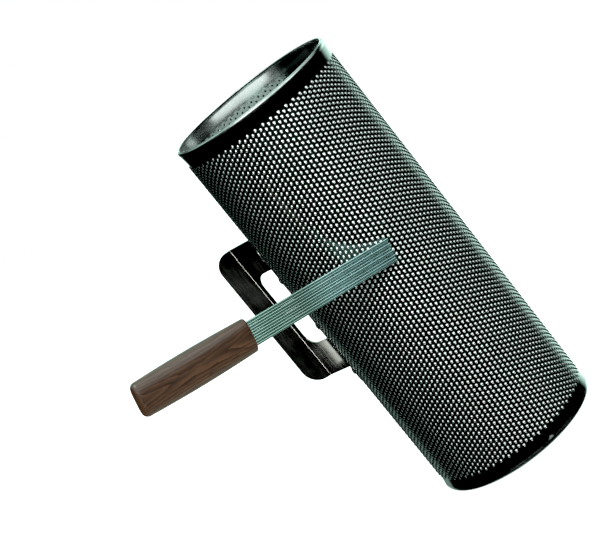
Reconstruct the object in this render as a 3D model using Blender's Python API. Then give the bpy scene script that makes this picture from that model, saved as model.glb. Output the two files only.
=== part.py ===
# A merengue guira: an open tube of embossed steel sheet with beaded ends and a
# riveted sheet-metal handle, and the fork of steel wires that is rubbed along it.
# The tube stands on its lower bead with the handle towards +Y. Metres, +Z up.
import math

import bmesh
import bpy
from mathutils import Matrix, Vector

MM = 0.001

# Tube
TUBE_LENGTH = 380 * MM
SHEET_RADIUS = 76.2 * MM  # outside of the sheet between the bumps
SHEET_THICKNESS = 0.8 * MM
PLAIN_MARGIN = 13 * MM  # length without bumps at each end
FLARE = 0.6 * MM  # how far the sheet's ends widen
BUMP_HEIGHT = 1.0 * MM
BUMP_PITCH = 10 * MM  # between bumps along the tube, a coarser field than the real 4.5 mm one
BUMP_COLUMN_PAIRS = 27  # staggered columns of bumps round the tube
BUMP_CREASE = math.radians(10)  # sharper edges than this stay crisp

# Bead rings on the tube's ends
RIM_HEIGHT = 4 * MM
RIM_WALL = 0.5 * MM  # metal outside the sheet
RIM_LIP = 1.2 * MM  # metal inside the sheet
RIM_CROWN = 1.3 * MM  # metal over the sheet's edge
RIM_ROLL = 1.2 * MM  # rounding of the outer edge
RIM_LIP_ROUNDING = 0.5 * MM
RIM_ROLL_STEPS = 2

# Handle, cut as a flat blank and folded
HANDLE_LENGTH = 150 * MM
HANDLE_CENTRE_HEIGHT = 195 * MM
HANDLE_THICKNESS = 1.5 * MM
HANDLE_REACH = 133.5 * MM  # from the tube's axis to the fold
MOUNT_FLANGE_WIDTH = 22 * MM
MOUNT_CORNER = 5 * MM
SWEEP_RADIUS = 40 * MM  # the curve from the tube's surface into the leg
FOLD_ANGLE = math.radians(20)
FOLD_RADIUS = 3 * MM
GRIP_FLANGE_WIDTH = 21 * MM
GRIP_CORNER = 16 * MM
LEG_HEIGHT = 34 * MM  # metal above and below the finger slot
SLOT_ROOT = 16 * MM  # metal left on the sweep, beside the mounting flange
SLOT_TO_FOLD = 3 * MM
SLOT_CORNER = 12 * MM
CORNER_STEPS = 5
MOUNT_BENDS = 5
SWEEP_BENDS = 12
FOLD_BENDS = 3

# Rivets through the mounting flange and the sheet
RIVET_COUNT = 6
RIVET_END_DISTANCE = 10 * MM  # from the handle's end to the first rivet
RIVET_SHANK_RADIUS = 2 * MM
RIVET_HEAD_RADIUS = 4 * MM
RIVET_HEAD_HEIGHT = 2 * MM
RIVET_TAIL_RADIUS = 3.2 * MM
RIVET_TAIL_HEIGHT = 1.4 * MM
RIVET_STEPS = 12
RIVET_DOME_STEPS = 4

# Scraper
TINE_COUNT = 10
TINE_RADIUS = 0.9 * MM
TINE_GAP = 0.35 * MM  # between neighbouring tines
TINE_LENGTH = 145 * MM  # in front of the grip
TINE_SEAT_DEPTH = 25 * MM  # inside the grip
TINE_TIP_ROUNDING = 0.4 * MM
TINE_STEPS = 10
GRIP_LENGTH = 108 * MM
GRIP_SIDE_WALL = 3.3 * MM  # beside the row of tines
GRIP_FRONT_THICKNESS = 12 * MM
GRIP_SWELL = 5 * MM  # extra thickness at mid-length
GRIP_SIDE_SWELL = 2 * MM  # extra width at mid-length
GRIP_FRONT_ROUNDING = 2 * MM
GRIP_END_ROUNDING = 5 * MM
GRIP_SQUARENESS = 2.6  # superellipse exponent of the section
GRIP_STEPS = 24
GRIP_STATIONS = 10

# Where the scraper touches the tube
CONTACT_ANGLE = math.radians(-129.4)  # about the tube's axis, from +X
CONTACT_HEIGHT = 217.5 * MM  # the nearest bump to it carries the fork's middle tine
TINE_LEAN = math.radians(15.7)  # between the tines and the tube's surface
TINE_DROOP = math.radians(13.5)  # tips lower than the grip

# Fits
SEAT = 0.3 * MM  # gap between pieces that rest on each other
RIVET_SEAT = 0.5 * MM  # a flat rivet face on a round wall

SHEET_INSIDE = SHEET_RADIUS - SHEET_THICKNESS
SHEET_EDGE = RIM_CROWN + SEAT  # from the tube's end to the sheet's edge inside the bead
BUMP_TOP = SHEET_RADIUS + BUMP_HEIGHT
ROUND_STEPS = 2 * BUMP_COLUMN_PAIRS
MOUNT_RADIUS = BUMP_TOP + SEAT + HANDLE_THICKNESS / 2  # middle of the flange's sheet
HANDLE_BOTTOM = HANDLE_CENTRE_HEIGHT - HANDLE_LENGTH / 2
SWEEP_START = math.asin(SWEEP_RADIUS / (MOUNT_RADIUS + SWEEP_RADIUS))  # from +Y towards -X
SWEEP_CENTRE = (MOUNT_RADIUS + SWEEP_RADIUS) * math.cos(SWEEP_START)
SWEEP_LENGTH = SWEEP_RADIUS * (math.pi / 2 - SWEEP_START)
LEG_LENGTH = HANDLE_REACH - FOLD_RADIUS * math.tan(FOLD_ANGLE / 2) - SWEEP_CENTRE
FOLD_LENGTH = FOLD_RADIUS * FOLD_ANGLE
LEG_START = MOUNT_FLANGE_WIDTH + SWEEP_LENGTH
FOLD_START = LEG_START + LEG_LENGTH
GRIP_START = FOLD_START + FOLD_LENGTH
BLANK_WIDTH = GRIP_START + GRIP_FLANGE_WIDTH
RIVET_ANGLE = SWEEP_START + MOUNT_FLANGE_WIDTH / 2 / MOUNT_RADIUS
TINE_PITCH = 2 * TINE_RADIUS + TINE_GAP
MIDDLE_TINE = (TINE_COUNT // 2 - (TINE_COUNT - 1) / 2) * TINE_PITCH  # its place along the row of tips
TINE_ROW_WIDTH = (TINE_COUNT - 1) * TINE_PITCH + 2 * TINE_RADIUS


def clear_scene():
    for item in list(bpy.data.objects):
        bpy.data.objects.remove(item, do_unlink=True)


def make_material(name, colour, roughness, metallic):
    material = bpy.data.materials.new(name)
    material.use_nodes = True
    shader = material.node_tree.nodes["Principled BSDF"]
    shader.inputs["Base Color"].default_value = (*colour, 1.0)
    shader.inputs["Roughness"].default_value = roughness
    shader.inputs["Metallic"].default_value = metallic
    return material


def make_object(name, shape, parent, material=None, sharp_angle=math.radians(35)):
    mesh = bpy.data.meshes.new(name)
    shape.to_mesh(mesh)
    shape.free()
    mesh.shade_smooth()
    mesh.set_sharp_from_angle(angle=sharp_angle)
    item = bpy.data.objects.new(name, mesh)
    bpy.context.collection.objects.link(item)
    item.parent = parent
    if material:
        mesh.materials.append(material)
    return item


def make_empty(name, parent=None):
    item = bpy.data.objects.new(name, None)
    bpy.context.collection.objects.link(item)
    item.parent = parent
    return item


def make_cutter(name, shape, parent):
    cutter = make_object(name, shape, parent)
    cutter.hide_render = True
    cutter.display_type = "WIRE"
    return cutter


def cut(item, cutter):
    boolean = item.modifiers.new("cut", "BOOLEAN")
    boolean.operation = "DIFFERENCE"
    boolean.object = cutter


def arc(centre, radius, start, end, steps):
    turn = (end - start) / steps
    return [
        (centre[0] + radius * math.cos(start + turn * k), centre[1] + radius * math.sin(start + turn * k))
        for k in range(steps + 1)
    ]


def turned(profile, steps, closed):
    # A solid turned about Z from (radius, height) points. An open profile ends on the axis.
    shape = bmesh.new()
    verts = [shape.verts.new((radius, 0, height)) for radius, height in profile]
    pairs = list(zip(verts, verts[1:]))
    if closed:
        pairs.append((verts[-1], verts[0]))
    edges = [shape.edges.new(pair) for pair in pairs]
    bmesh.ops.spin(
        shape, geom=verts + edges, cent=(0, 0, 0), axis=(0, 0, 1),
        angle=2 * math.pi, steps=steps, use_merge=True,
    )
    bmesh.ops.remove_doubles(shape, verts=shape.verts, dist=0.001 * MM)
    bmesh.ops.recalc_face_normals(shape, faces=shape.faces)
    return shape


def flare_rise(end_distance):
    # How far the flare lifts the sheet at a distance from the tube's end.
    return FLARE * max(PLAIN_MARGIN - end_distance, 0.0) / (PLAIN_MARGIN - SHEET_EDGE)


def bump_rows():
    # Heights of the rows of points between the plain margins, half a pitch apart.
    field = TUBE_LENGTH - 2 * PLAIN_MARGIN
    count = round(field / (BUMP_PITCH / 2))
    return [PLAIN_MARGIN + field * k / count for k in range(count + 1)]


def raise_bumps(shape, rows):
    # Draws out every second point of the sheet's outside, staggered from row to row, and splits the
    # faces between the hollows, so that four sides rise to each bump. Odd rows have a bump at +X.
    row_step = rows[1] - rows[0]
    column_step = 2 * math.pi / ROUND_STEPS
    bumps = set()
    for vert in shape.verts:
        row = round((vert.co.z - rows[0]) / row_step)
        column = round(math.atan2(vert.co.y, vert.co.x) / column_step)
        on_outside = vert.co.xy.length > SHEET_RADIUS - SHEET_THICKNESS / 2
        if on_outside and 0 < row < len(rows) - 1 and (row + column) % 2:
            vert.co.xy *= BUMP_TOP / SHEET_RADIUS
            bumps.add(vert)
    for face in shape.faces[:]:
        for loop in face.loops:
            if loop.vert in bumps:
                bmesh.utils.face_split(face, loop.link_loop_prev.vert, loop.link_loop_next.vert)
                break


def make_shell(parent, material):
    top = TUBE_LENGTH - SHEET_EDGE
    rows = bump_rows()
    profile = [(SHEET_INSIDE + FLARE, SHEET_EDGE), (SHEET_RADIUS + FLARE, SHEET_EDGE)]
    profile += [(SHEET_RADIUS, height) for height in rows]
    profile += [(SHEET_RADIUS + FLARE, top), (SHEET_INSIDE + FLARE, top)]
    profile += [(SHEET_INSIDE, rows[-1]), (SHEET_INSIDE, rows[0])]
    shape = turned(profile, ROUND_STEPS, True)
    raise_bumps(shape, rows)
    shell = make_object("body_shell", shape, parent, material, sharp_angle=BUMP_CREASE)
    shell.rotation_euler.z = CONTACT_ANGLE  # a column of bumps lies under the fork's tips
    cut(shell, make_rivet_drill(parent))
    return shell


def make_rim(name, parent, material, at_top):
    rise = flare_rise(RIM_HEIGHT)
    inside = SHEET_INSIDE + rise - SEAT - RIM_LIP
    outside = SHEET_RADIUS + FLARE + SEAT + RIM_WALL
    profile = [(SHEET_INSIDE + rise - SEAT, RIM_HEIGHT), (SHEET_INSIDE + FLARE - SEAT, RIM_CROWN)]
    profile += [(SHEET_RADIUS + FLARE + SEAT, RIM_CROWN), (SHEET_RADIUS + rise + SEAT, RIM_HEIGHT)]
    profile += [(outside, RIM_HEIGHT)]
    profile += arc((outside - RIM_ROLL, RIM_ROLL), RIM_ROLL, 0, -math.pi / 2, RIM_ROLL_STEPS)
    profile += [(inside + RIM_LIP_ROUNDING, 0), (inside, RIM_LIP_ROUNDING), (inside, RIM_HEIGHT)]
    shape = turned(profile, ROUND_STEPS, True)
    if at_top:
        turn_over = Matrix.Translation((0, 0, TUBE_LENGTH)) @ Matrix.Rotation(math.pi, 4, "X")
        bmesh.ops.transform(shape, matrix=turn_over, verts=shape.verts)
    rim = make_object(name, shape, parent, material)
    rim.rotation_euler.z = CONTACT_ANGLE
    return rim


def rounded_outline(low, high, low_corner, high_corner):
    # Points round a blank or slot: the first coordinate runs across the folds, the second up the tube.
    quarter = math.pi / 2
    a = low_corner
    b = high_corner
    points = arc((low[0] + a, low[1] + a), a, -2 * quarter, -quarter, CORNER_STEPS)
    points += arc((high[0] - b, low[1] + b), b, -quarter, 0, CORNER_STEPS)
    points += arc((high[0] - b, high[1] - b), b, 0, quarter, CORNER_STEPS)
    points += arc((low[0] + a, high[1] - a), a, quarter, 2 * quarter, CORNER_STEPS)
    return points


def folded(across):
    # Where a point of the blank lies in plan once the blank is folded.
    if across < MOUNT_FLANGE_WIDTH:
        angle = SWEEP_START + (MOUNT_FLANGE_WIDTH - across) / MOUNT_RADIUS
        return -MOUNT_RADIUS * math.sin(angle), MOUNT_RADIUS * math.cos(angle)
    if across < LEG_START:
        angle = (across - LEG_START) / SWEEP_RADIUS
        return SWEEP_RADIUS * (math.cos(angle) - 1), SWEEP_CENTRE + SWEEP_RADIUS * math.sin(angle)
    leg_end = SWEEP_CENTRE + LEG_LENGTH
    if across < FOLD_START:
        return 0.0, leg_end + across - FOLD_START
    angle = min((across - FOLD_START) / FOLD_RADIUS, FOLD_ANGLE)
    past = max(across - GRIP_START, 0.0)
    x = FOLD_RADIUS * (math.cos(angle) - 1) - past * math.sin(angle)
    y = leg_end + FOLD_RADIUS * math.sin(angle) + past * math.cos(angle)
    return x, y


def bend_lines():
    lines = [MOUNT_FLANGE_WIDTH * k / MOUNT_BENDS for k in range(1, MOUNT_BENDS + 1)]
    lines += [MOUNT_FLANGE_WIDTH + SWEEP_LENGTH * k / SWEEP_BENDS for k in range(1, SWEEP_BENDS + 1)]
    lines += [FOLD_START + FOLD_LENGTH * k / FOLD_BENDS for k in range(FOLD_BENDS + 1)]
    return lines


def rivet_heights():
    span = HANDLE_LENGTH - 2 * RIVET_END_DISTANCE
    return [RIVET_END_DISTANCE + span * k / (RIVET_COUNT - 1) for k in range(RIVET_COUNT)]


def make_handle(parent, material):
    outline = rounded_outline((0, 0), (BLANK_WIDTH, HANDLE_LENGTH), MOUNT_CORNER, GRIP_CORNER)
    slot_low = (MOUNT_FLANGE_WIDTH + SLOT_ROOT, LEG_HEIGHT)
    slot_high = (FOLD_START - SLOT_TO_FOLD, HANDLE_LENGTH - LEG_HEIGHT)
    loops = [outline, rounded_outline(slot_low, slot_high, SLOT_CORNER, SLOT_CORNER)]
    for height in rivet_heights():
        centre = (MOUNT_FLANGE_WIDTH / 2, height)
        loops.append(arc(centre, RIVET_SHANK_RADIUS + SEAT, 0, 2 * math.pi, RIVET_STEPS)[:-1])
    shape = bmesh.new()
    for loop in loops:
        verts = [shape.verts.new((across, up, 0)) for across, up in loop]
        for first, second in zip(verts, verts[1:] + verts[:1]):
            shape.edges.new((first, second))
    bmesh.ops.triangle_fill(shape, edges=shape.edges, use_beauty=True)
    for line in bend_lines():
        everything = shape.verts[:] + shape.edges[:] + shape.faces[:]
        bmesh.ops.bisect_plane(shape, geom=everything, plane_co=(line, 0, 0), plane_no=(1, 0, 0))
    for vert in shape.verts:
        across, up, _ = vert.co
        vert.co = (*folded(across), HANDLE_BOTTOM + up)
    bmesh.ops.recalc_face_normals(shape, faces=shape.faces)
    handle = make_object("handle", shape, parent, material)
    sheet = handle.modifiers.new("sheet", "SOLIDIFY")
    sheet.thickness = HANDLE_THICKNESS
    sheet.offset = 0
    sheet.use_even_offset = True
    return handle


def rivet_matrix(height):
    # Local +Z points out of the tube through the middle of the mounting flange.
    level = Matrix.Translation((0, 0, HANDLE_BOTTOM + height))
    round_tube = Matrix.Rotation(RIVET_ANGLE, 4, "Z")
    outwards = Matrix.Rotation(-math.pi / 2, 4, "X")
    return level @ round_tube @ outwards


def make_rivet_drill(parent):
    shape = bmesh.new()
    depth = SHEET_RADIUS
    for height in rivet_heights():
        hole = rivet_matrix(height) @ Matrix.Translation((0, 0, SHEET_RADIUS))
        bmesh.ops.create_cone(
            shape, cap_ends=True, segments=RIVET_STEPS, matrix=hole, depth=depth,
            radius1=RIVET_SHANK_RADIUS + SEAT, radius2=RIVET_SHANK_RADIUS + SEAT,
        )
    return make_cutter("rivet_drill", shape, parent)


def make_rivets(parent, material):
    head = MOUNT_RADIUS + HANDLE_THICKNESS / 2 + RIVET_SEAT
    tail = SHEET_INSIDE - RIVET_SEAT
    profile = [(0, tail - RIVET_TAIL_HEIGHT), (RIVET_TAIL_RADIUS, tail - RIVET_TAIL_HEIGHT)]
    profile += [(RIVET_TAIL_RADIUS, tail), (RIVET_SHANK_RADIUS, tail), (RIVET_SHANK_RADIUS, head)]
    for k in range(RIVET_DOME_STEPS + 1):
        angle = math.pi / 2 * k / RIVET_DOME_STEPS
        profile.append((RIVET_HEAD_RADIUS * math.cos(angle), head + RIVET_HEAD_HEIGHT * math.sin(angle)))
    for number, height in enumerate(rivet_heights(), 1):
        rivet = make_object(f"rivet_{number}", turned(profile, RIVET_STEPS, False), parent, material)
        rivet.matrix_local = rivet_matrix(height)


def make_stroke(parent):
    # The scraper's own frame: +X along the row of tips, +Y along the tines to the tips, +Z off the tube.
    out = Vector((math.cos(CONTACT_ANGLE), math.sin(CONTACT_ANGLE), 0))
    along = Vector((-out.y, out.x, 0))
    up = Vector((0, 0, 1))
    surface = along * math.cos(TINE_DROOP) - up * math.sin(TINE_DROOP)
    tines = surface * math.cos(TINE_LEAN) - out * math.sin(TINE_LEAN)
    row = tines.cross(out).normalized()
    tip_reach = (TINE_RADIUS - TINE_TIP_ROUNDING) * math.cos(TINE_LEAN)
    tip_reach += TINE_TIP_ROUNDING * (1 - math.sin(TINE_LEAN))
    bump = min(bump_rows()[1:-1:2], key=lambda height: abs(height - CONTACT_HEIGHT))
    place = out * (BUMP_TOP + SEAT + tip_reach) + up * bump - row * MIDDLE_TINE
    turn = Matrix((row, tines, row.cross(tines))).transposed().to_4x4()
    stroke = make_empty("scraper_stroke", parent)
    stroke.matrix_local = Matrix.Translation(place) @ turn
    return stroke


def make_tines(parent, material):
    length = TINE_LENGTH + TINE_SEAT_DEPTH
    for number in range(TINE_COUNT):
        across = (number - (TINE_COUNT - 1) / 2) * TINE_PITCH
        shape = bmesh.new()
        lie_along_y = Matrix.Translation((0, -length / 2, 0)) @ Matrix.Rotation(-math.pi / 2, 4, "X")
        bmesh.ops.create_cone(
            shape, cap_ends=True, segments=TINE_STEPS, matrix=lie_along_y,
            radius1=TINE_RADIUS, radius2=TINE_RADIUS, depth=length,
        )
        tip = [edge for edge in shape.edges if all(vert.co.y > -length / 2 for vert in edge.verts)]
        bmesh.ops.bevel(
            shape, geom=tip, offset=TINE_TIP_ROUNDING, offset_type="OFFSET", affect="EDGES",
            segments=2, profile=0.5, material=-1,
        )
        tine = make_object(f"tine_{number + 1}", shape, parent, material)
        tine.location.x = across


def grip_stations():
    # Depths behind the grip's front face, with the amount that the rounded ends draw the section in.
    quarter = math.pi / 2
    front = [GRIP_FRONT_ROUNDING * (1 - math.cos(quarter * k / 3)) for k in range(4)]
    front_inset = [GRIP_FRONT_ROUNDING * (1 - math.sin(quarter * k / 3)) for k in range(4)]
    back = [GRIP_LENGTH - GRIP_END_ROUNDING * (1 - math.sin(quarter * k / 4)) for k in range(5)]
    back_inset = [GRIP_END_ROUNDING * (1 - math.cos(quarter * k / 4)) for k in range(5)]
    body = back[0] - front[-1]
    middle = [front[-1] + body * k / GRIP_STATIONS for k in range(1, GRIP_STATIONS)]
    depths = front + middle + back
    insets = front_inset + [0.0] * len(middle) + back_inset
    return list(zip(depths, insets))


def make_grip(parent, material):
    shape = bmesh.new()
    front_width = TINE_ROW_WIDTH + 2 * SEAT + 2 * GRIP_SIDE_WALL
    rings = []
    for depth, inset in grip_stations():
        swell = math.sin(math.pi * depth / GRIP_LENGTH)
        half_width = (front_width + GRIP_SIDE_SWELL * swell) / 2 - inset
        half_height = (GRIP_FRONT_THICKNESS + GRIP_SWELL * swell) / 2 - inset
        ring = []
        for k in range(GRIP_STEPS):
            c = math.cos(2 * math.pi * k / GRIP_STEPS)
            s = math.sin(2 * math.pi * k / GRIP_STEPS)
            x = half_width * math.copysign(abs(c) ** (2 / GRIP_SQUARENESS), c)
            z = half_height * math.copysign(abs(s) ** (2 / GRIP_SQUARENESS), s)
            ring.append(shape.verts.new((x, -TINE_LENGTH - depth, z)))
        rings.append(ring)
    for ring, following in zip(rings, rings[1:]):
        for k in range(GRIP_STEPS):
            after = (k + 1) % GRIP_STEPS
            shape.faces.new((ring[k], ring[after], following[after], following[k]))
    shape.faces.new(rings[0])
    shape.faces.new(rings[-1])
    bmesh.ops.recalc_face_normals(shape, faces=shape.faces)
    grip = make_object("scraper_grip", shape, parent, material)

    slot = bmesh.new()
    depth = TINE_SEAT_DEPTH + SEAT
    size = (TINE_ROW_WIDTH + 2 * SEAT, 2 * depth, 2 * (TINE_RADIUS + SEAT))
    place = Matrix.Translation((0, -TINE_LENGTH, 0)) @ Matrix.Diagonal((*size, 1))
    bmesh.ops.create_cube(slot, size=1, matrix=place)
    cut(grip, make_cutter("tine_slot", slot, parent))
    return grip


def stand_on_origin(root):
    # Put the middle of the whole object's footprint at the origin.
    bpy.context.view_layer.update()
    scene = bpy.context.evaluated_depsgraph_get()
    corners = []
    for item in bpy.data.objects:
        if item.type == "MESH" and not item.hide_render:
            seen = item.evaluated_get(scene)
            corners += [seen.matrix_world @ vert.co for vert in seen.data.vertices]
    low = Vector(min(corner[k] for corner in corners) for k in range(3))
    high = Vector(max(corner[k] for corner in corners) for k in range(3))
    root.location = (-(low.x + high.x) / 2, -(low.y + high.y) / 2, -low.z)
    print("size", [round((high - low)[k] / MM, 2) for k in range(3)], "mm")
    print("tube axis at", [round(value, 5) for value in root.location])


def main():
    clear_scene()
    steel = make_material("embossed_steel", (0.34, 0.38, 0.36), 0.28, 1.0)
    bright = make_material("polished_steel", (0.55, 0.60, 0.58), 0.18, 1.0)
    wire = make_material("spring_wire", (0.52, 0.66, 0.62), 0.30, 1.0)
    wood = make_material("dark_wood", (0.09, 0.045, 0.025), 0.45, 0.0)
    root = make_empty("guira")
    make_shell(root, steel)
    make_rim("bottom_rim", root, bright, at_top=False)
    make_rim("top_rim", root, bright, at_top=True)
    make_handle(root, bright)
    make_rivets(root, bright)
    stroke = make_stroke(root)
    make_tines(stroke, wire)
    make_grip(stroke, wood)
    stand_on_origin(root)


main()
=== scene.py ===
import math

import bmesh
import bpy
from mathutils import Matrix, Vector


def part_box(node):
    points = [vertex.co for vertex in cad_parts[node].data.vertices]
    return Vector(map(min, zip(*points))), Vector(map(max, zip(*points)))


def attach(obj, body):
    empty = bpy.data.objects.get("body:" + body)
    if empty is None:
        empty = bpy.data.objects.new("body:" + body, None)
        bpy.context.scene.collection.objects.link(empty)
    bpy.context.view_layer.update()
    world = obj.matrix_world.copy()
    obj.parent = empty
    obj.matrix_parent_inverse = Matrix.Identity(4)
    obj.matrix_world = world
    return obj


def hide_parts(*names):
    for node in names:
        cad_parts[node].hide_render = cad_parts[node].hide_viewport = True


mm = 0.001
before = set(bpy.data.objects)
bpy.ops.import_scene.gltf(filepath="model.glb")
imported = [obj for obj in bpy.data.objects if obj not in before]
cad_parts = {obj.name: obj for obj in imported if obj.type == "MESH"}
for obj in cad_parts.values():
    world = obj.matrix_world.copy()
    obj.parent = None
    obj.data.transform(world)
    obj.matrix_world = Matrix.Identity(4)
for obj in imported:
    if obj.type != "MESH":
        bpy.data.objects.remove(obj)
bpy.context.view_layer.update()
print("frame loaded:", len(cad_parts), "nodes")


def boxMiddle(node):
    low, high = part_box(node)
    return (low + high) / 2


tubeFoot = Vector((boxMiddle("bottom_rim").x, boxMiddle("bottom_rim").y, 0))  # on the tube's axis
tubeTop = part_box("top_rim")[1].z


# Camera, at the photograph's angle: aim and distance are from the tube's foot
viewpoint = {
    "azimuth": -46.4, "elevation": 12.92, "roll": -39.03,  # degrees
    "aim": (-6.48 * mm, 79.86 * mm, 219.61 * mm), "distance": 1544 * mm,
    "lens": 104.88, "sensor": 36.0,
}


def setCamera():
    lens = bpy.data.cameras.new("camera")
    lens.lens = viewpoint["lens"]
    lens.sensor_width = viewpoint["sensor"]
    lens.clip_start = 0.01
    camera = bpy.data.objects.new("camera", lens)
    turn = Matrix.Rotation(math.radians(viewpoint["azimuth"]), 4, "Z")
    turn = turn @ Matrix.Rotation(math.radians(90 - viewpoint["elevation"]), 4, "X")
    turn = turn @ Matrix.Rotation(math.radians(viewpoint["roll"]), 4, "Z")
    away = turn @ Vector((0, 0, viewpoint["distance"]))
    camera.matrix_world = Matrix.Translation(tubeFoot + Vector(viewpoint["aim"]) + away) @ turn
    bpy.context.scene.collection.objects.link(camera)
    bpy.context.scene.camera = camera


setCamera()
print("camera set")


# Node helpers
def addNode(tree, kind, **settings):
    made = tree.nodes.new(kind)
    for name, value in settings.items():
        setattr(made, name, value)
    return made


def feed(tree, socket, value):
    # another node's output is linked, anything else is set
    if isinstance(value, bpy.types.NodeSocket):
        tree.links.new(value, socket)
    else:
        socket.default_value = value


def plug(tree, made, **sources):
    # sockets by name, with spaces written as underscores
    for name, value in sources.items():
        feed(tree, made.inputs[name.replace("_", " ")], value)
    return made


def sums(tree, operation, first, second, clamp=False):
    made = addNode(tree, "ShaderNodeMath", operation=operation, use_clamp=clamp)
    for socket, value in zip(made.inputs, (first, second)):
        feed(tree, socket, value)
    return made.outputs[0]


def remap(tree, value, low, high, toLow=0.0, toHigh=1.0, smooth=True):
    made = addNode(tree, "ShaderNodeMapRange", interpolation_type="SMOOTHSTEP" if smooth else "LINEAR")
    plug(tree, made, Value=value, From_Min=low, From_Max=high, To_Min=toLow, To_Max=toHigh)
    return made.outputs[0]


def blendColours(tree, share, first, second):
    made = addNode(tree, "ShaderNodeMix", data_type="RGBA")
    for number, value in ((0, share), (6, first), (7, second)):  # the colour sockets share their names
        feed(tree, made.inputs[number], value)
    return made.outputs[2]


def placed(tree, scale=(1, 1, 1), centre=(0, 0, 0), turn=(0, 0, 0)):
    # Object coordinates, moved to a centre, turned and stretched
    where = addNode(tree, "ShaderNodeTexCoord").outputs["Object"]
    mapping = addNode(tree, "ShaderNodeMapping", vector_type="TEXTURE")
    plug(tree, mapping, Vector=where, Location=centre, Rotation=turn, Scale=[1 / s for s in scale])
    return mapping.outputs[0]


def noise(tree, where, scale, detail=3.0, rough=0.55):
    made = addNode(tree, "ShaderNodeTexNoise")
    plug(tree, made, Vector=where, Scale=scale, Detail=detail, Roughness=rough)
    return made.outputs["Fac"]


def relief(tree, height, strength, distance):
    made = addNode(tree, "ShaderNodeBump")
    plug(tree, made, Height=height, Strength=strength, Distance=distance)
    return made.outputs[0]


def newFinish(name):
    finish = bpy.data.materials.new(name)
    finish.use_nodes = True
    return finish, finish.node_tree, finish.node_tree.nodes["Principled BSDF"]


# Finishes
# tones of the embossed sheet: near black for painted shade, a dark valley tone for painted shade between
# the bumps, lighter flank and rubbed top tones, and a matt tone for the inside wall
embossedLook = {
    "fullShade": (0.01, 0.012, 0.011, 1), "valleyShade": (0.20, 0.227, 0.215, 1),
    "flank": (0.50, 0.55, 0.53, 1), "crown": (0.95, 0.97, 0.96, 1), "matt": (0.55, 0.67, 0.63, 1),
    "shadeRough": -0.1, "valleyRough": 0.15, "crownRough": 0.2, "mattRough": 0.3,
    "patchScale": 28, "grainScale": 900,
}
steelLooks = {
    "beadSteel": {
        "dark": (0.28, 0.31, 0.30, 1), "light": (0.54, 0.58, 0.565, 1), "rough": (0.13, 0.26),
        "stretch": (260, 260, 900), "smudge": 34, "scratch": 0.02 * mm,
    },
    "plateSteel": {
        "dark": (0.29, 0.31, 0.27, 1), "light": (0.57, 0.60, 0.54, 1), "rough": (0.09, 0.2),
        "stretch": (1500, 1500, 40), "smudge": 26, "scratch": 0.02 * mm,
    },
    "rivetSteel": {
        "dark": (0.38, 0.41, 0.40, 1), "light": (0.70, 0.74, 0.72, 1), "rough": (0.16, 0.32),
        "stretch": (700, 700, 700), "smudge": 120, "scratch": 0.03 * mm,
    },
}


def embossedFinish():
    look = embossedLook
    finish, tree, shader = newFinish("embossedSteel")
    wearAndPaintedLight = addNode(tree, "ShaderNodeAttribute", attribute_name="wearAndPaintedLight").outputs["Fac"]
    where = placed(tree)
    patches = noise(tree, where, look["patchScale"], 4)
    grain = noise(tree, where, look["grainScale"], 2)
    worn = sums(tree, "ADD", wearAndPaintedLight, remap(tree, patches, 0.3, 0.7, -0.16, 0.16))
    # painted shade: below zero the tone goes towards near black, on the margins and deep inside
    tone = blendColours(tree, remap(tree, wearAndPaintedLight, -1.0, 0.0, smooth=False), look["fullShade"], look["valleyShade"])
    # painted shade darkens the valleys; the flanks and the rubbed tops are lighter
    tone = blendColours(tree, remap(tree, wearAndPaintedLight, 0.02, 0.25), tone, look["flank"])
    tone = blendColours(tree, remap(tree, wearAndPaintedLight, 0.45, 0.85), tone, look["crown"])
    tone = blendColours(tree, remap(tree, wearAndPaintedLight, 1.2, 1.8), tone, look["matt"])
    smudge = remap(tree, patches, 0.35, 0.75, 0.0, 0.22)
    tone = blendColours(tree, smudge, tone, look["valleyShade"])
    rough = remap(tree, worn, 0.0, 1.1, look["valleyRough"], look["crownRough"])
    rough = sums(tree, "ADD", rough, remap(tree, wearAndPaintedLight, -0.4, 0.0, look["shadeRough"], 0.0))
    rough = sums(tree, "ADD", rough, remap(tree, wearAndPaintedLight, 1.2, 1.8, 0.0, look["mattRough"]))
    rough = sums(tree, "ADD", rough, remap(tree, grain, 0.3, 0.7, -0.04, 0.06))
    plug(tree, shader, Base_Color=tone, Roughness=rough, Metallic=1.0)
    plug(tree, shader, Normal=relief(tree, grain, 0.04, 0.02 * mm))
    return finish


def steelFinish(name):
    look = steelLooks[name]
    finish, tree, shader = newFinish(name)
    lines = noise(tree, placed(tree, look["stretch"]), 1.0, 4)
    smudges = noise(tree, placed(tree), look["smudge"], 3)
    tone = blendColours(tree, remap(tree, lines, 0.3, 0.7, 0.25, 0.85), look["dark"], look["light"])
    tone = blendColours(tree, remap(tree, smudges, 0.45, 0.8, 0.0, 0.45), tone, look["dark"])
    low, high = look["rough"]
    rough = remap(tree, smudges, 0.3, 0.75, low, high)
    rough = sums(tree, "ADD", rough, remap(tree, lines, 0.3, 0.7, -0.03, 0.05))
    plug(tree, shader, Base_Color=tone, Roughness=rough, Metallic=1.0)
    plug(tree, shader, Normal=relief(tree, lines, 0.06, look["scratch"]))
    return finish


# Modelling helpers
def vertsOf(geom):
    return [item for item in geom if isinstance(item, bmesh.types.BMVert)]


def edgesOf(geom):
    return [item for item in geom if isinstance(item, bmesh.types.BMEdge)]


def rollOn(shape, radius, base):
    # wraps a flat strip round the tube: x runs round it, y up it and z off it
    for vert in shape.verts:
        across, up, off = vert.co
        angle = across / radius
        vert.co = ((radius + off) * math.cos(angle), (radius + off) * math.sin(angle), base + up)


def mergeDoubles(shape, distance=0.004 * mm):
    bmesh.ops.remove_doubles(shape, verts=shape.verts, dist=distance)


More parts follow.
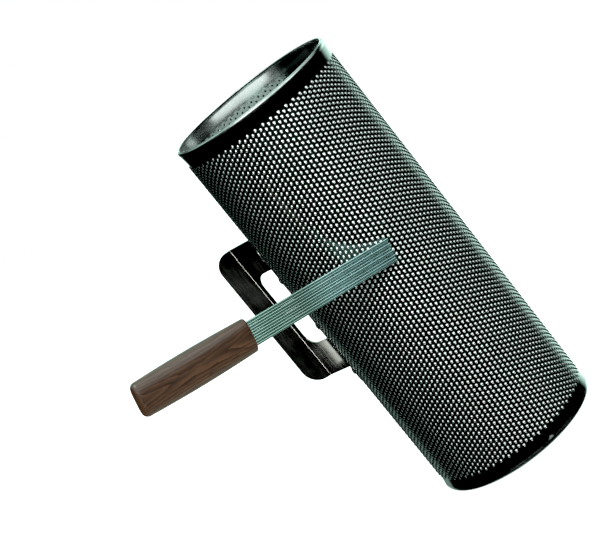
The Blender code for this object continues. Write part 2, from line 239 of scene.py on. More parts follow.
def roundEdges(shape, edges, size, segments=2):
    bmesh.ops.bevel(
        shape, geom=edges, offset=size, offset_type="OFFSET", affect="EDGES",
        segments=segments, profile=0.5, material=-1, clamp_overlap=True,
    )


def sharpEdges(shape, angle=60):
    return [edge for edge in shape.edges
            if len(edge.link_faces) == 2 and edge.calc_face_angle() > math.radians(angle)]


def fullSpin(shape, geom, steps):
    bmesh.ops.spin(
        shape, geom=geom, cent=(0, 0, 0), axis=(0, 0, 1), dvec=(0, 0, 0),
        angle=2 * math.pi, steps=steps, use_merge=True,
    )
    mergeDoubles(shape)
    bmesh.ops.recalc_face_normals(shape, faces=shape.faces)


def newPiece(name, shape, body, finish, nodes=(), sharp=40):
    mesh = bpy.data.meshes.new(name)
    shape.to_mesh(mesh)
    shape.free()
    if sharp:
        mesh.shade_smooth()
        mesh.set_sharp_from_angle(angle=math.radians(sharp))
    mesh.materials.append(finish)
    piece = bpy.data.objects.new(name, mesh)
    bpy.context.scene.collection.objects.link(piece)
    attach(piece, body)
    if nodes:
        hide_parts(*nodes)
    return piece


# Embossed sheet: hexagon cells with one punched bump each, in staggered columns round the tube
embossed = {
    "radius": 76.2 * mm, "thickness": 0.8 * mm,
    "columns": 120, "rows": 78, "pitch": 4.505 * mm, "turn": math.radians(-2.2), "drop": 0.75 * mm,
    "steps": (  # radius and height, up the flank and down into the dent on top
        (1.63 * mm, 0.0), (1.21 * mm, 0.42 * mm), (0.7 * mm, 0.78 * mm), (0.35 * mm, 0.7 * mm),
    ),
    "lean": 0.3 * mm, "tip": 150,  # the tops lie towards the tube's foot, and face a little up
    # the outer plain margins are darkened with painted shade
    "panels": 6, "marginShade": -0.4, "insideMarginHighlight": 0.58,
    # inside, the margins are lightened as a painted highlight and the dimples darkened with painted shade
    "insideMattAndShade": (2.0, -6.0),  # on the flat wall, and its change down a dimple
    "insideShadeDepth": (42 * mm, 60 * mm),  # the inside darkens with painted shade between these distances from an end
    "shadeSide": Vector((0.987, -0.163)), "shadeSlope": 19, "shadeStart": 17,  # and the painted shade also lies towards this side
    "edge": 1.6 * mm,  # from the tube's end to the sheet's edge inside the bead
    "dent": (Vector((-42.9, -63.9, 7.5)) * mm, 5.5 * mm, 0.8 * mm),  # place, radius and depth
    "flare": (  # end distance and rise
        (13 * mm, 0.07 * mm), (11.5 * mm, 0.2 * mm), (10 * mm, 0.35 * mm), (8 * mm, 0.56 * mm),
        (6 * mm, 0.80 * mm), (4 * mm, 1.05 * mm), (3.2 * mm, 1.15 * mm),
    ),
}


def bumpCell(columnStep):
    pitch = embossed["pitch"]
    shape = bmesh.new()
    wearAndPaintedLight = shape.verts.layers.float.new("wearAndPaintedLight")
    quarterTurn = Matrix.Rotation(math.pi / 2, 4, "Z")
    bmesh.ops.create_circle(shape, cap_ends=True, segments=6, radius=1, matrix=quarterTurn)
    bmesh.ops.scale(shape, vec=(columnStep * 2 / 3, pitch / math.sqrt(3), 1), verts=shape.verts)
    top = shape.faces[:][0]
    if top.normal.z < 0:
        bmesh.ops.reverse_faces(shape, faces=[top])
    flatToPoint = math.cos(math.pi / 6)
    reach, level = pitch / 2, 0.0
    for radius, height in embossed["steps"]:
        inset = reach - radius * flatToPoint
        bmesh.ops.inset_individual(
            shape, faces=[top], thickness=inset, depth=height - level, use_even_offset=True,
        )
        reach, level = radius * flatToPoint, height
        if level == 0:
            for edge in top.edges:
                edge.smooth = False
    bmesh.ops.poke(shape, faces=[top])
    tallest = max(height for radius, height in embossed["steps"])
    # the height share darkens the valleys with painted shade and lightens the rubbed tops
    for vert in shape.verts:
        vert[wearAndPaintedLight] = vert.co.z / tallest
        vert.co.y -= embossed["lean"] * vert[wearAndPaintedLight]
        vert.co.z *= 1 - embossed["tip"] * vert.co.y
    return shape


def embossedStrip(columnStep):
    # two staggered columns of cells, rolled onto the tube
    pitch, rows = embossed["pitch"], embossed["rows"]
    shape = bumpCell(columnStep)
    cell = shape.verts[:] + shape.edges[:] + shape.faces[:]
    for row in range(1, rows):
        copy = bmesh.ops.duplicate(shape, geom=cell)["geom"]
        bmesh.ops.translate(shape, vec=(0, pitch * row, 0), verts=vertsOf(copy))
    column = shape.verts[:] + shape.edges[:] + shape.faces[:]
    copy = bmesh.ops.duplicate(shape, geom=column)["geom"]
    bmesh.ops.translate(shape, vec=(columnStep, pitch / 2, 0), verts=vertsOf(copy))
    mergeDoubles(shape)
    return shape


def plainMargin(shape, edges, heights):
    # carries the sheet on from the last bumps to its edge, through (height, rise) steps
    wearAndPaintedLight = shape.verts.layers.float["wearAndPaintedLight"]
    for height, rise in heights:
        edges = edgesOf(bmesh.ops.extrude_edge_only(shape, edges=edges)["geom"])
        for vert in {vert for edge in edges for vert in edge.verts}:
            out = Vector((vert.co.x, vert.co.y, 0)).normalized() * (embossed["radius"] + rise)
            vert.co = (out.x, out.y, height)
            # painted shade darkens the plain margins
            vert[wearAndPaintedLight] = embossed["marginShade"]


def paintLightInside(shape):
    # painted light inside: matt between dimples darkened with painted shade, a painted highlight on the
    # margins, and painted shade further in and towards one side
    wearAndPaintedLight = shape.verts.layers.float["wearAndPaintedLight"]
    flat, change = embossed["insideMattAndShade"]
    bright, fullShade = embossed["insideShadeDepth"]
    inside = [vert for vert in shape.verts if vert.normal.dot(Vector((vert.co.x, vert.co.y, 0))) < 0]
    for vert in inside:
        # a painted highlight on the inside margins, painted shade down each dimple
        lit = max(flat + change * vert[wearAndPaintedLight], -1) if vert[wearAndPaintedLight] >= 0 else embossed["insideMarginHighlight"]
        # painted shade grows with depth and towards one side
        depth = min(vert.co.z, tubeTop - vert.co.z)
        share = (depth - bright) / (fullShade - bright)
        facing = Vector((vert.co.x, vert.co.y)).normalized().dot(embossed["shadeSide"])
        share = max(share, facing * embossed["shadeSlope"] - embossed["shadeStart"])
        share = min(max(share, 0), 1)
        vert[wearAndPaintedLight] = lit * (1 - share) - share


def pushDent(shape):
    place, radius, depth = embossed["dent"]
    for vert in shape.verts:
        share = 1 - (vert.co - place).length_squared / radius ** 2
        if share > 0:
            vert.co -= Vector((vert.co.x, vert.co.y, 0)).normalized() * depth * share ** 2


def embossedSheet():
    columns, rows, pitch = embossed["columns"], embossed["rows"], embossed["pitch"]
    radius = embossed["radius"]
    columnStep = 2 * math.pi * radius / columns
    fieldHeight = pitch * (rows - 0.5)  # between the middles of the first and last bumps
    firstRow = (tubeTop - fieldHeight) / 2 - embossed["drop"]
    strip = embossedStrip(columnStep)
    rollOn(strip, radius, firstRow)
    perPanel = columns // 2 // embossed["panels"]
    stripTurn = 4 * math.pi / columns
    everything = strip.verts[:] + strip.edges[:] + strip.faces[:]
    bmesh.ops.spin(
        strip, geom=everything, cent=(0, 0, 0), axis=(0, 0, 1), dvec=(0, 0, 0),
        angle=stripTurn * (perPanel - 1), steps=perPanel - 1, use_merge=False, use_duplicate=True,
    )
    mergeDoubles(strip)
    fieldTop = firstRow + fieldHeight
    slack = 0.1 * mm
    openEdges = [edge for edge in strip.edges if edge.is_boundary]
    upper = [edge for edge in openEdges if min(v.co.z for v in edge.verts) > fieldTop - slack]
    lower = [edge for edge in openEdges if max(v.co.z for v in edge.verts) < firstRow + slack]
    flare = embossed["flare"] + ((embossed["edge"], embossed["flare"][-1][1]),)
    plainMargin(strip, upper, [(tubeTop - away, rise) for away, rise in flare])
    plainMargin(strip, lower, flare[1:])  # the bumps end nearer to this edge
    bmesh.ops.recalc_face_normals(strip, faces=strip.faces)
    strip.faces.ensure_lookup_table()
    if strip.faces[0].normal.dot(strip.faces[0].calc_center_median()) < 0:
        bmesh.ops.reverse_faces(strip, faces=strip.faces)
    bmesh.ops.solidify(strip, geom=strip.faces[:], thickness=embossed["thickness"])
    strip.normal_update()
    for face in strip.faces:
        face.smooth = True
    for edge in sharpEdges(strip):
        edge.smooth = False
    finish = embossedFinish()
    for number in range(embossed["panels"]):
        panel = strip.copy()
        turn = Matrix.Rotation(embossed["turn"] + stripTurn * perPanel * number, 4, "Z")
        bmesh.ops.transform(panel, matrix=turn, verts=panel.verts)
        panel.normal_update()
        paintLightInside(panel)
        pushDent(panel)
        bmesh.ops.translate(panel, vec=tubeFoot, verts=panel.verts)
        name = f"embossed_sheet_{number + 1}"
        newPiece(name, panel, "guira", finish, ["body_shell"], sharp=None)
    strip.free()


embossedSheet()
print("embossed sheet done")


# Beads rolled on the tube's ends
bead = {
    "outside": 77.5 * mm, "lowerOutside": 77.27 * mm, "inside": 74.4 * mm, "height": 4.0 * mm,
    "rollWidth": 1.6 * mm, "rollTop": 0.3 * mm, "rollBottom": 2.2 * mm,  # depths are below the tube's end
    "lipRadius": 0.5 * mm, "groove": 0.95 * mm, "undercut": 0.35 * mm, "roundSteps": 10, "steps": 240,
    "lipDepth": 1.6 * mm, "innerWall": 76.9 * mm,  # below the lip the sheet's own wall shows
}


def beadRing(node, finish):
    # flush with the flared sheet outside, rolled over the end, with a thin lip standing inside
    middle = bead["outside"] - bead["rollWidth"]
    lip = bead["inside"] + bead["lipRadius"]
    quarter = math.pi / 2 / bead["roundSteps"]
    profile = [(bead["lowerOutside"], bead["height"])]
    for step in range(bead["roundSteps"] + 1):
        rise = (bead["rollBottom"] - bead["rollTop"]) * math.sin(quarter * step)
        profile.append((middle + bead["rollWidth"] * math.cos(quarter * step), bead["rollBottom"] - rise))
    profile.append((lip + bead["lipRadius"], bead["groove"]))
    for step in range(bead["roundSteps"] + 1):
        angle = 2 * quarter * step
        out = lip + bead["lipRadius"] * math.cos(angle)
        profile.append((out, bead["lipRadius"] * (1 - math.sin(angle))))
    profile.append((bead["inside"] + bead["undercut"], bead["lipDepth"]))
    profile.append((bead["innerWall"], bead["lipDepth"]))
    profile.append((bead["innerWall"], bead["height"]))
    shape = bmesh.new()
    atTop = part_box(node)[0].z > tubeTop / 2
    verts = [shape.verts.new((out, 0, tubeTop - away if atTop else away)) for out, away in profile]
    edges = [shape.edges.new(pair) for pair in zip(verts, verts[1:] + verts[:1])]
    fullSpin(shape, verts + edges, bead["steps"])
    bmesh.ops.translate(shape, vec=tubeFoot, verts=shape.verts)
    return newPiece(f"bead_{node}", shape, "guira", finish, [node])


beadSteel = steelFinish("beadSteel")
beadRing("top_rim", beadSteel)
beadRing("bottom_rim", beadSteel)
print("beads done")


# Handle: a flat blank with a finger slot, folded behind the tube
handlePlate = {
    "length": 150 * mm, "thickness": 1.5 * mm, "reach": 133.5 * mm,  # from the axis to the fold
    "mountRadius": 78.25 * mm, "mountWidth": 22 * mm, "mountCorner": 5 * mm,
    "sweepRadius": 40 * mm, "foldAngle": math.radians(20), "foldRadius": 3 * mm,
    "gripWidth": 21 * mm, "gripCorner": 16 * mm,
    "legHeight": 34 * mm, "slotRoot": 16 * mm, "slotToFold": 3 * mm, "slotCorner": 12 * mm,
    "cornerSegments": 12, "mountBends": 10, "sweepBends": 28, "foldBends": 8,
    "edgeRound": 0.4 * mm,
}


def handleLayout():
    # lengths along the blank, from the mounting flange's free edge to the grip flange's
    h = handlePlate
    start = math.asin(h["sweepRadius"] / (h["mountRadius"] + h["sweepRadius"]))
    centre = (h["mountRadius"] + h["sweepRadius"]) * math.cos(start)
    legStart = h["mountWidth"] + h["sweepRadius"] * (math.pi / 2 - start)
    legEnd = h["reach"] - h["foldRadius"] * math.tan(h["foldAngle"] / 2)
    foldStart = legStart + legEnd - centre
    gripStart = foldStart + h["foldRadius"] * h["foldAngle"]
    return {"sweepStart": start, "sweepCentre": centre, "legStart": legStart, "legEnd": legEnd,
            "foldStart": foldStart, "gripStart": gripStart, "width": gripStart + h["gripWidth"]}


def foldedPlan(across, layout):
    # where a point of the blank lies in plan once it is folded
    h = handlePlate
    if across < h["mountWidth"]:
        angle = layout["sweepStart"] + (h["mountWidth"] - across) / h["mountRadius"]
        return -h["mountRadius"] * math.sin(angle), h["mountRadius"] * math.cos(angle)
    if across < layout["legStart"]:
        angle = (across - layout["legStart"]) / h["sweepRadius"]
        sweep = h["sweepRadius"]
        return sweep * (math.cos(angle) - 1), layout["sweepCentre"] + sweep * math.sin(angle)
    if across < layout["foldStart"]:
        return 0.0, layout["legEnd"] + across - layout["foldStart"]
    angle = min((across - layout["foldStart"]) / h["foldRadius"], h["foldAngle"])
    past = max(across - layout["gripStart"], 0.0)
    x = h["foldRadius"] * (math.cos(angle) - 1) - past * math.sin(angle)
    y = layout["legEnd"] + h["foldRadius"] * math.sin(angle) + past * math.cos(angle)
    return x, y


def roundedRectangle(shape, low, high, lowCorner, highCorner):
    # an outline whose corners are rounded, the two at low x by one radius and the others by another
    corners = [shape.verts.new((x, y, 0)) for x, y in
               ((low[0], low[1]), (high[0], low[1]), (high[0], high[1]), (low[0], high[1]))]
    shape.faces.new(corners)
    for chosen, radius in (((corners[0], corners[3]), lowCorner), ((corners[1], corners[2]), highCorner)):
        bmesh.ops.bevel(
            shape, geom=list(chosen), offset=radius, offset_type="OFFSET", affect="VERTICES",
            segments=handlePlate["cornerSegments"], profile=0.5, material=-1, clamp_overlap=False,
        )


def handlePiece():
    h = handlePlate
    layout = handleLayout()
    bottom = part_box("handle")[0].z
    shape = bmesh.new()
    roundedRectangle(shape, (0, 0), (layout["width"], h["length"]), h["mountCorner"], h["gripCorner"])
    slotLow = (h["mountWidth"] + h["slotRoot"], h["legHeight"])
    slotHigh = (layout["foldStart"] - h["slotToFold"], h["length"] - h["legHeight"])
    roundedRectangle(shape, slotLow, slotHigh, h["slotCorner"], h["slotCorner"])
    bmesh.ops.delete(shape, geom=shape.faces[:], context="FACES_ONLY")
    bmesh.ops.triangle_fill(shape, edges=shape.edges[:], use_beauty=True)
    bends = [h["mountWidth"] * k / h["mountBends"] for k in range(1, h["mountBends"] + 1)]
    sweep = layout["legStart"] - h["mountWidth"]
    bends += [h["mountWidth"] + sweep * k / h["sweepBends"] for k in range(1, h["sweepBends"] + 1)]
    fold = layout["gripStart"] - layout["foldStart"]
    bends += [layout["foldStart"] + fold * k / h["foldBends"] for k in range(h["foldBends"] + 1)]
    for bend in bends:
        everything = shape.verts[:] + shape.edges[:] + shape.faces[:]
        bmesh.ops.bisect_plane(shape, geom=everything, plane_co=(bend, 0, 0), plane_no=(1, 0, 0))
    for vert in shape.verts:
        x, y = foldedPlan(vert.co.x, layout)
        vert.co = tubeFoot + Vector((x, y, bottom + vert.co.y))
    bmesh.ops.recalc_face_normals(shape, faces=shape.faces)
    bmesh.ops.dissolve_limit(
        shape, angle_limit=math.radians(0.4), use_dissolve_boundaries=False,
        verts=shape.verts[:], edges=shape.edges[:],
    )
    bmesh.ops.solidify(shape, geom=shape.faces[:], thickness=h["thickness"])
    roundEdges(shape, sharpEdges(shape), h["edgeRound"])
    return newPiece("handle_plate", shape, "guira", steelFinish("plateSteel"), ["handle"],
                    sharp=15)


handlePiece()
print("handle done")


# Rivets through the mounting flange: distances are from the tube's axis
rivet = {
    "headRadius": 4 * mm, "headBase": 78.9 * mm, "headTop": 81.4 * mm, "headFlat": 1.2 * mm,
    "skirt": 0.5 * mm, "tailRadius": 3.2 * mm, "tailLow": 73.6 * mm, "tailHigh": 75.3 * mm,
    "tailRound": 0.5 * mm, "shankRadius": 2 * mm, "domeSteps": 8, "steps": 32,
}


def rivetPiece(node, finish):
    middle = boxMiddle(node)
    dome = rivet["headTop"] - rivet["headBase"] - rivet["skirt"]
    overhang = rivet["headRadius"] - rivet["headFlat"]
    profile = [(0, rivet["tailLow"]), (rivet["tailRadius"] - rivet["tailRound"], rivet["tailLow"])]
    profile += [(rivet["tailRadius"], rivet["tailLow"] + rivet["tailRound"])]
    profile += [(rivet["tailRadius"], rivet["tailHigh"]), (rivet["shankRadius"], rivet["tailHigh"])]
    profile += [(rivet["shankRadius"], rivet["headBase"]), (rivet["headRadius"], rivet["headBase"])]
    for step in range(rivet["domeSteps"] + 1):
        angle = math.pi / 2 * step / rivet["domeSteps"]
        across = rivet["headFlat"] + overhang * math.cos(angle)
        profile.append((across, rivet["headBase"] + rivet["skirt"] + dome * math.sin(angle)))
    profile.append((0, rivet["headTop"]))
    shape = bmesh.new()
    verts = [shape.verts.new((across, 0, out)) for across, out in profile]
    edges = [shape.edges.new(pair) for pair in zip(verts, verts[1:])]
    fullSpin(shape, verts + edges, rivet["steps"])
    outwards = Vector((middle.x - tubeFoot.x, middle.y - tubeFoot.y, 0)).to_track_quat("Z", "Y")
    place = Matrix.Translation((tubeFoot.x, tubeFoot.y, middle.z)) @ outwards.to_matrix().to_4x4()
    bmesh.ops.transform(shape, matrix=place, verts=shape.verts)
    return newPiece(f"dome_{node}", shape, "guira", finish, [node], sharp=50)


rivetSteel = steelFinish("rivetSteel")
rivetNodes = sorted(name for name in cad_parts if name.startswith("rivet_"))
for node in rivetNodes:
    rivetPiece(node, rivetSteel)
print("rivets done:", len(rivetNodes))


# Fork: a row of round wires in a wooden grip
fork = {
    "radius": 1.05 * mm, "pitch": 2.15 * mm, "length": 145 * mm, "seat": 25 * mm,
    "contact": math.radians(-129.4), "lean": math.radians(15.7), "droop": math.radians(13.5),
    "tipRound": 0.3 * mm, "sides": 20, "gather": 0.02,
    "strays": (  # of each wire's tip, in mm: along the row, along the wire and off the tube
        (0, 0.3, 0.6), (0.01, -0.5, 0), (-0.01, 0.2, 0.9), (0.01, 0.6, 0), (0.01, -0.4, 0.1),
        (-0.01, 0.5, 0.95), (0.01, -0.2, 0), (0.01, 0.7, 0.2), (0.01, -0.6, 0.75), (0, 0.4, 0.1),
    ),
}
wireLook = {
    "dark": (0.37, 0.67, 0.66, 1), "light": (0.71, 1.0, 0.99, 1), "rough": (0.14, 0.26),
    # the wires darken towards the grip with painted shade
    "gripEndShade": (0.16, 0.26, 0.19, 1), "gripEndShadeFrom": (0.42, 0.66),  # shares of the length, from the tips
    "drawnScale": 2600, "patchScale": 60,
}


def forkAxes():
    # along the row of tips, along the wires to their tips, and off the tube
    out = Vector((math.cos(fork["contact"]), math.sin(fork["contact"]), 0))
    sideways = Vector((-out.y, out.x, 0))
    surface = sideways * math.cos(fork["droop"]) - Vector((0, 0, math.sin(fork["droop"])))
    wires = surface * math.cos(fork["lean"]) - out * math.sin(fork["lean"])
    row = wires.cross(out).normalized()
    return row, wires, row.cross(wires)


forkRow, forkWires, forkOff = forkAxes()
forkTurn = Matrix((forkRow, forkWires, forkOff)).transposed()  # local x, y and z in the frame
tineNodes = sorted((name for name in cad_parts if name.startswith("tine_")),
                   key=lambda name: int(name.split("_")[1]))
forkLength = fork["length"] + fork["seat"]
forkMiddle = sum((boxMiddle(node) for node in tineNodes), Vector()) / len(tineNodes)
forkTips = forkMiddle + forkWires * forkLength / 2


def wireFinish():
    look = wireLook
    finish, tree, shader = newFinish("drawnWire")
    turn = forkTurn.to_euler()
    along = placed(tree, (look["drawnScale"], 25, look["drawnScale"]), forkTips, turn)
    drawn = noise(tree, along, 1.0, 3)
    patches = noise(tree, placed(tree), look["patchScale"], 4)
    tone = blendColours(tree, remap(tree, drawn, 0.3, 0.7, 0.45, 1.0), look["dark"], look["light"])
    tone = blendColours(tree, remap(tree, patches, 0.45, 0.8, 0.0, 0.35), tone, look["dark"])
    lengthwise = addNode(tree, "ShaderNodeSeparateXYZ")
    plug(tree, lengthwise, Vector=placed(tree, (1, 1, 1), forkTips, turn))
    # painted shade darkens the wires towards the grip end
    near, far = (-share * fork["length"] for share in look["gripEndShadeFrom"])
    share = remap(tree, lengthwise.outputs["Y"], far, near, 0.7, 0.0)
    tone = blendColours(tree, share, tone, look["gripEndShade"])
    low, high = look["rough"]
    plug(tree, shader, Base_Color=tone, Roughness=remap(tree, patches, 0.3, 0.75, low, high), Metallic=1.0)
    plug(tree, shader, Normal=relief(tree, drawn, 0.08, 0.02 * mm))
    return finish


def tinePiece(node, finish):
    shape = bmesh.new()
    lie = forkTurn.to_4x4() @ Matrix.Rotation(-math.pi / 2, 4, "X")
    bmesh.ops.create_cone(
        shape, cap_ends=True, segments=fork["sides"], radius1=fork["radius"], radius2=fork["radius"],
        depth=forkLength,
    )
    tip = [edge for edge in shape.edges if all(vert.co.z > 0 for vert in edge.verts)]
    roundEdges(shape, tip, fork["tipRound"], 3)
    number = tineNodes.index(node)
    along, further, off = (stray * mm for stray in fork["strays"][number])
    gather = fork["gather"] * (boxMiddle(node) - forkMiddle).dot(forkRow)
    for vert in shape.verts:
        share = vert.co.z / forkLength + 0.5
        vert.co += Vector((along - gather, -off, further)) * share
    bmesh.ops.transform(shape, matrix=Matrix.Translation(boxMiddle(node)) @ lie, verts=shape.verts)
    return newPiece(f"wire_{node}", shape, "scraper", finish, [node], sharp=50)


drawnWire = wireFinish()
for node in tineNodes:
    tinePiece(node, drawnWire)
print("wires done:", len(tineNodes))


# Grip: a turned-in block of dark wood with a slot that the wires sit in
grip = {
    "length": 108 * mm, "sideWall": 3.3 * mm, "fit": 0.3 * mm, "frontThickness": 12 * mm,
    "swell": 5 * mm, "sideSwell": 2 * mm, "frontRound": 2 * mm, "endRound": 5 * mm,
    "squareness": 2.6, "sides": 48, "stations": 24, "roundSteps": 6, "slotDepth": 6 * mm,
}
woodLook = {
    "dark": (0.020, 0.009, 0.005, 1), "light": (0.115, 0.050, 0.022, 1), "ringScale": 210,
    "poreScale": (1800, 45, 1800), "rough": (0.30, 0.50),
}


def gripStations():
    # depth behind the front face, and how far the rounded ends draw the section in
    quarter = math.pi / 2
    steps = grip["roundSteps"]
    for k in range(steps):
        yield grip["frontRound"] * (1 - math.cos(quarter * k / steps)), \
            grip["frontRound"] * (1 - math.sin(quarter * k / steps))
    body = grip["length"] - grip["frontRound"] - grip["endRound"]
    for k in range(grip["stations"] + 1):
        yield grip["frontRound"] + body * k / grip["stations"], 0.0
    for k in range(1, steps + 1):
        yield grip["length"] - grip["endRound"] * (1 - math.sin(quarter * k / steps)), \
            grip["endRound"] * (1 - math.cos(quarter * k / steps))


def squared(value):
    return math.copysign(abs(value) ** (2 / grip["squareness"]), value)


def gripPiece(finish):
    rowWidth = fork["pitch"] * (len(tineNodes) - 1) + 2 * fork["radius"]
    slotWidth = rowWidth + 2 * grip["fit"]
    slotHeight = 2 * (fork["radius"] + grip["fit"])
    shape = bmesh.new()
    bmesh.ops.create_circle(shape, cap_ends=False, segments=grip["sides"], radius=1)
    section = [(squared(vert.co.x), squared(vert.co.y)) for vert in shape.verts]
    loop = shape.edges[:]
    ring = shape.verts[:]
    front = None
    for depth, inset in gripStations():
        if front is None:
            front = loop
        else:
            made = bmesh.ops.extrude_edge_only(shape, edges=loop)["geom"]
            ring, loop = vertsOf(made), edgesOf(made)
        swell = math.sin(math.pi * depth / grip["length"])
        halfWidth = (slotWidth + 2 * grip["sideWall"] + grip["sideSwell"] * swell) / 2 - inset
        halfHeight = (grip["frontThickness"] + grip["swell"] * swell) / 2 - inset
        for vert, (x, z) in zip(ring, section):
            vert.co = (halfWidth * x, -fork["length"] - depth, halfHeight * z)
    bmesh.ops.edgeloop_fill(shape, edges=front)
    bmesh.ops.edgeloop_fill(shape, edges=loop)
    bmesh.ops.recalc_face_normals(shape, faces=shape.faces)
    for axis, half in ((0, slotWidth / 2), (2, slotHeight / 2)):
        for side in (-1, 1):
            face = [f for f in shape.faces if f.normal.y > 0.99]
            cut = face + list({e for f in face for e in f.edges}) + list({v for f in face for v in f.verts})
            point = [0, 0, 0]
            point[axis] = side * half
            direction = [0, 0, 0]
            direction[axis] = 1
            bmesh.ops.bisect_plane(shape, geom=cut, plane_co=point, plane_no=direction)
    mouth = [f for f in shape.faces if f.normal.y > 0.99
             and abs(f.calc_center_median().x) < slotWidth / 2
             and abs(f.calc_center_median().z) < slotHeight / 2]
    made = bmesh.ops.extrude_face_region(shape, geom=mouth)["geom"]
    bmesh.ops.delete(shape, geom=mouth, context="FACES")
    bmesh.ops.translate(shape, vec=(0, -grip["slotDepth"], 0), verts=vertsOf(made))
    bmesh.ops.recalc_face_normals(shape, faces=shape.faces)
    place = Matrix.Translation(forkTips) @ forkTurn.to_4x4()
    bmesh.ops.transform(shape, matrix=place, verts=shape.verts)
    return newPiece("wooden_grip", shape, "scraper", finish, ["scraper_grip"])


def woodFinish():
    look = woodLook
    finish, tree, shader = newFinish("darkWood")
    turn = forkTurn.to_euler()
    where = placed(tree, (1, 0.16, 1), forkTips, turn)
    wander = noise(tree, where, 60, 3)
    rings = addNode(tree, "ShaderNodeTexWave", wave_type="RINGS", rings_direction="Y", wave_profile="SAW")
    plug(tree, rings, Vector=where, Scale=look["ringScale"], Distortion=5.0, Detail=3.0, Detail_Scale=1.6)
    pores = noise(tree, placed(tree, look["poreScale"], forkTips, turn), 1.0, 3)
    share = sums(tree, "MULTIPLY", rings.outputs["Fac"], remap(tree, wander, 0.3, 0.7, 0.55, 1.0))
    tone = blendColours(tree, share, look["dark"], look["light"])
    tone = blendColours(tree, remap(tree, pores, 0.55, 0.75, 0.0, 0.8), tone, look["dark"])
    low, high = look["rough"]
    plug(tree, shader, Base_Color=tone, Roughness=remap(tree, pores, 0.3, 0.75, low, high))
    plug(tree, shader, Coat_Weight=0.5, Coat_Roughness=0.16)
    plug(tree, shader, Normal=relief(tree, pores, 0.35, 0.06 * mm))
    return finish


gripPiece(woodFinish())
print("grip done")


# Floor, sky and lamps
studio = {
    "floorSize": 5.0, "floorGlow": 0.62, "white": (1.0, 1.0, 1.0, 1),
    "deepest": 0.006,  # darker than this is black
    "tints": {"cool": (0.93, 1.0, 0.975, 1), "green": (0.70, 1.0, 0.89, 1)},
    "panels": (  # tint, direction, full and fading half-angles in degrees, lowest height, strength
        ("cool", (-0.503, -0.683, 0.53), 45, 56, 0.0, 1.6),
        ("cool", (0.50, -0.66, 0.56), 20, 38, 0.15, 0.8),
        ("green", (0.20, 0.25, 0.95), 36, 52, 0.3, 1.15),
        ("green", (0.87, 0.42, -0.17), 19, 38, -2.0, 2.0),
        ("green", (0.26, 0.88, -0.41), 7, 13, -2.0, 0.55),
        ("green", (0.72, 0.69, -0.20), 8, 18, -2.0, 0.5),
        ("green", (0.0, 0.05, -1.0), 26, 44, -2.0, 0.55),
        ("cool", (-0.888, 0.179, 0.423), 14, 32, 0.0, 0.12),
    ),
    "lamps": (  # piece that it lights alone, place and aim from the tube's foot, width, height, watts
        (None, (-0.9, -0.5, 1.6), (0, 0, 0.19), 0.9, 0.9, 9),
        ("handle_plate", (-0.0684, 0.181, 0.116), (-0.0008, 0.1125, 0.143), 0.006, 0.03, 0.0008),
        ("handle_plate", (-0.492, 0.346, 0.07), (0, 0.1335, 0.195), 0.06, 0.20, 0.25),
    ),
}


def setFloor():
    shape = bmesh.new()
    bmesh.ops.create_grid(shape, x_segments=1, y_segments=1, size=studio["floorSize"] / 2)
    mesh = bpy.data.meshes.new("floor")
    shape.to_mesh(mesh)
    shape.free()
    floor = bpy.data.objects.new("floor", mesh)
    bpy.context.scene.collection.objects.link(floor)
    finish, tree, shader = newFinish("floorWhite")
    plug(tree, shader, Base_Color=(0.9, 0.9, 0.9, 1), Roughness=0.9)
    plug(tree, shader, Emission_Color=studio["white"], Emission_Strength=studio["floorGlow"])
    mesh.materials.append(finish)
    floor.visible_glossy = False


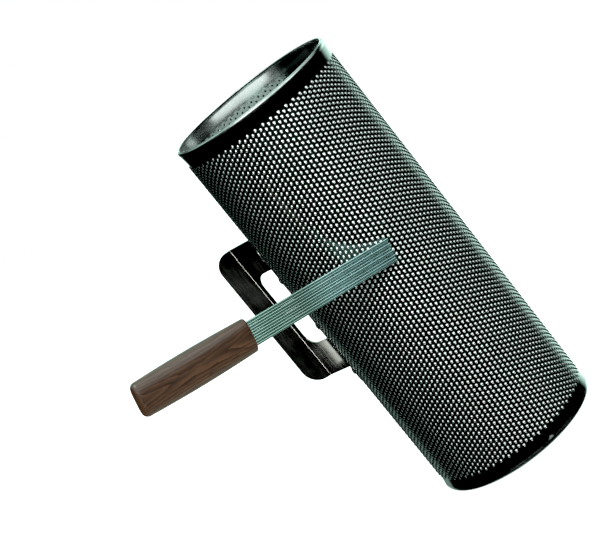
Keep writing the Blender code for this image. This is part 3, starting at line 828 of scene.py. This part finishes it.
def setSky():
    world = bpy.data.worlds.new("studio")
    bpy.context.scene.world = world
    world.use_nodes = True
    tree = world.node_tree
    tree.nodes.clear()
    way = addNode(tree, "ShaderNodeTexCoord").outputs["Generated"]
    glow = {tint: 0.0 for tint in studio["tints"]}
    height = plug(tree, addNode(tree, "ShaderNodeSeparateXYZ"), Vector=way).outputs["Z"]
    for tint, direction, full, fading, lowest, strength in studio["panels"]:
        towards = addNode(tree, "ShaderNodeVectorMath", operation="DOT_PRODUCT")
        tree.links.new(way, towards.inputs[0])
        towards.inputs[1].default_value = Vector(direction).normalized()
        edge, middle = math.cos(math.radians(fading)), math.cos(math.radians(full))
        panel = remap(tree, towards.outputs["Value"], edge, middle, 0.0, strength)
        panel = sums(tree, "MULTIPLY", panel, remap(tree, height, lowest, lowest + 0.1))
        glow[tint] = sums(tree, "ADD", glow[tint], panel)
    soft = addNode(tree, "ShaderNodeAddShader")
    for socket, (tint, colour) in zip(soft.inputs, studio["tints"].items()):
        share = plug(tree, addNode(tree, "ShaderNodeBackground"), Color=colour, Strength=glow[tint])
        tree.links.new(share.outputs[0], socket)
    plain = plug(tree, addNode(tree, "ShaderNodeBackground"), Color=studio["white"], Strength=1.0)
    seen = addNode(tree, "ShaderNodeLightPath").outputs["Is Camera Ray"]
    choice = addNode(tree, "ShaderNodeMixShader")
    tree.links.new(seen, choice.inputs[0])
    tree.links.new(soft.outputs[0], choice.inputs[1])
    tree.links.new(plain.outputs[0], choice.inputs[2])
    output = addNode(tree, "ShaderNodeOutputWorld")
    tree.links.new(choice.outputs[0], output.inputs["Surface"])


def setLamps():
    for number, (piece, place, aim, width, height, watts) in enumerate(studio["lamps"], 1):
        lamp = bpy.data.lights.new(f"softbox_{number}", "AREA")
        lamp.shape = "RECTANGLE"
        lamp.size, lamp.size_y = width, height
        lamp.energy = watts
        holder = bpy.data.objects.new(f"softbox_{number}", lamp)
        look = (Vector(aim) - Vector(place)).to_track_quat("-Z", "Y").to_matrix().to_4x4()
        holder.matrix_world = Matrix.Translation(tubeFoot + Vector(place)) @ look
        holder.visible_camera = False
        bpy.context.scene.collection.objects.link(holder)
        if piece:
            lit = bpy.data.collections.new(f"lit_by_{holder.name}")
            lit.objects.link(bpy.data.objects[piece])
            holder.light_linking.receiver_collection = lit


setFloor()
setSky()
setLamps()
view = bpy.context.scene.view_settings
view.view_transform = "Standard"
view.use_curve_mapping = True
view.curve_mapping.black_level = [studio["deepest"]] * 3
print("studio set")
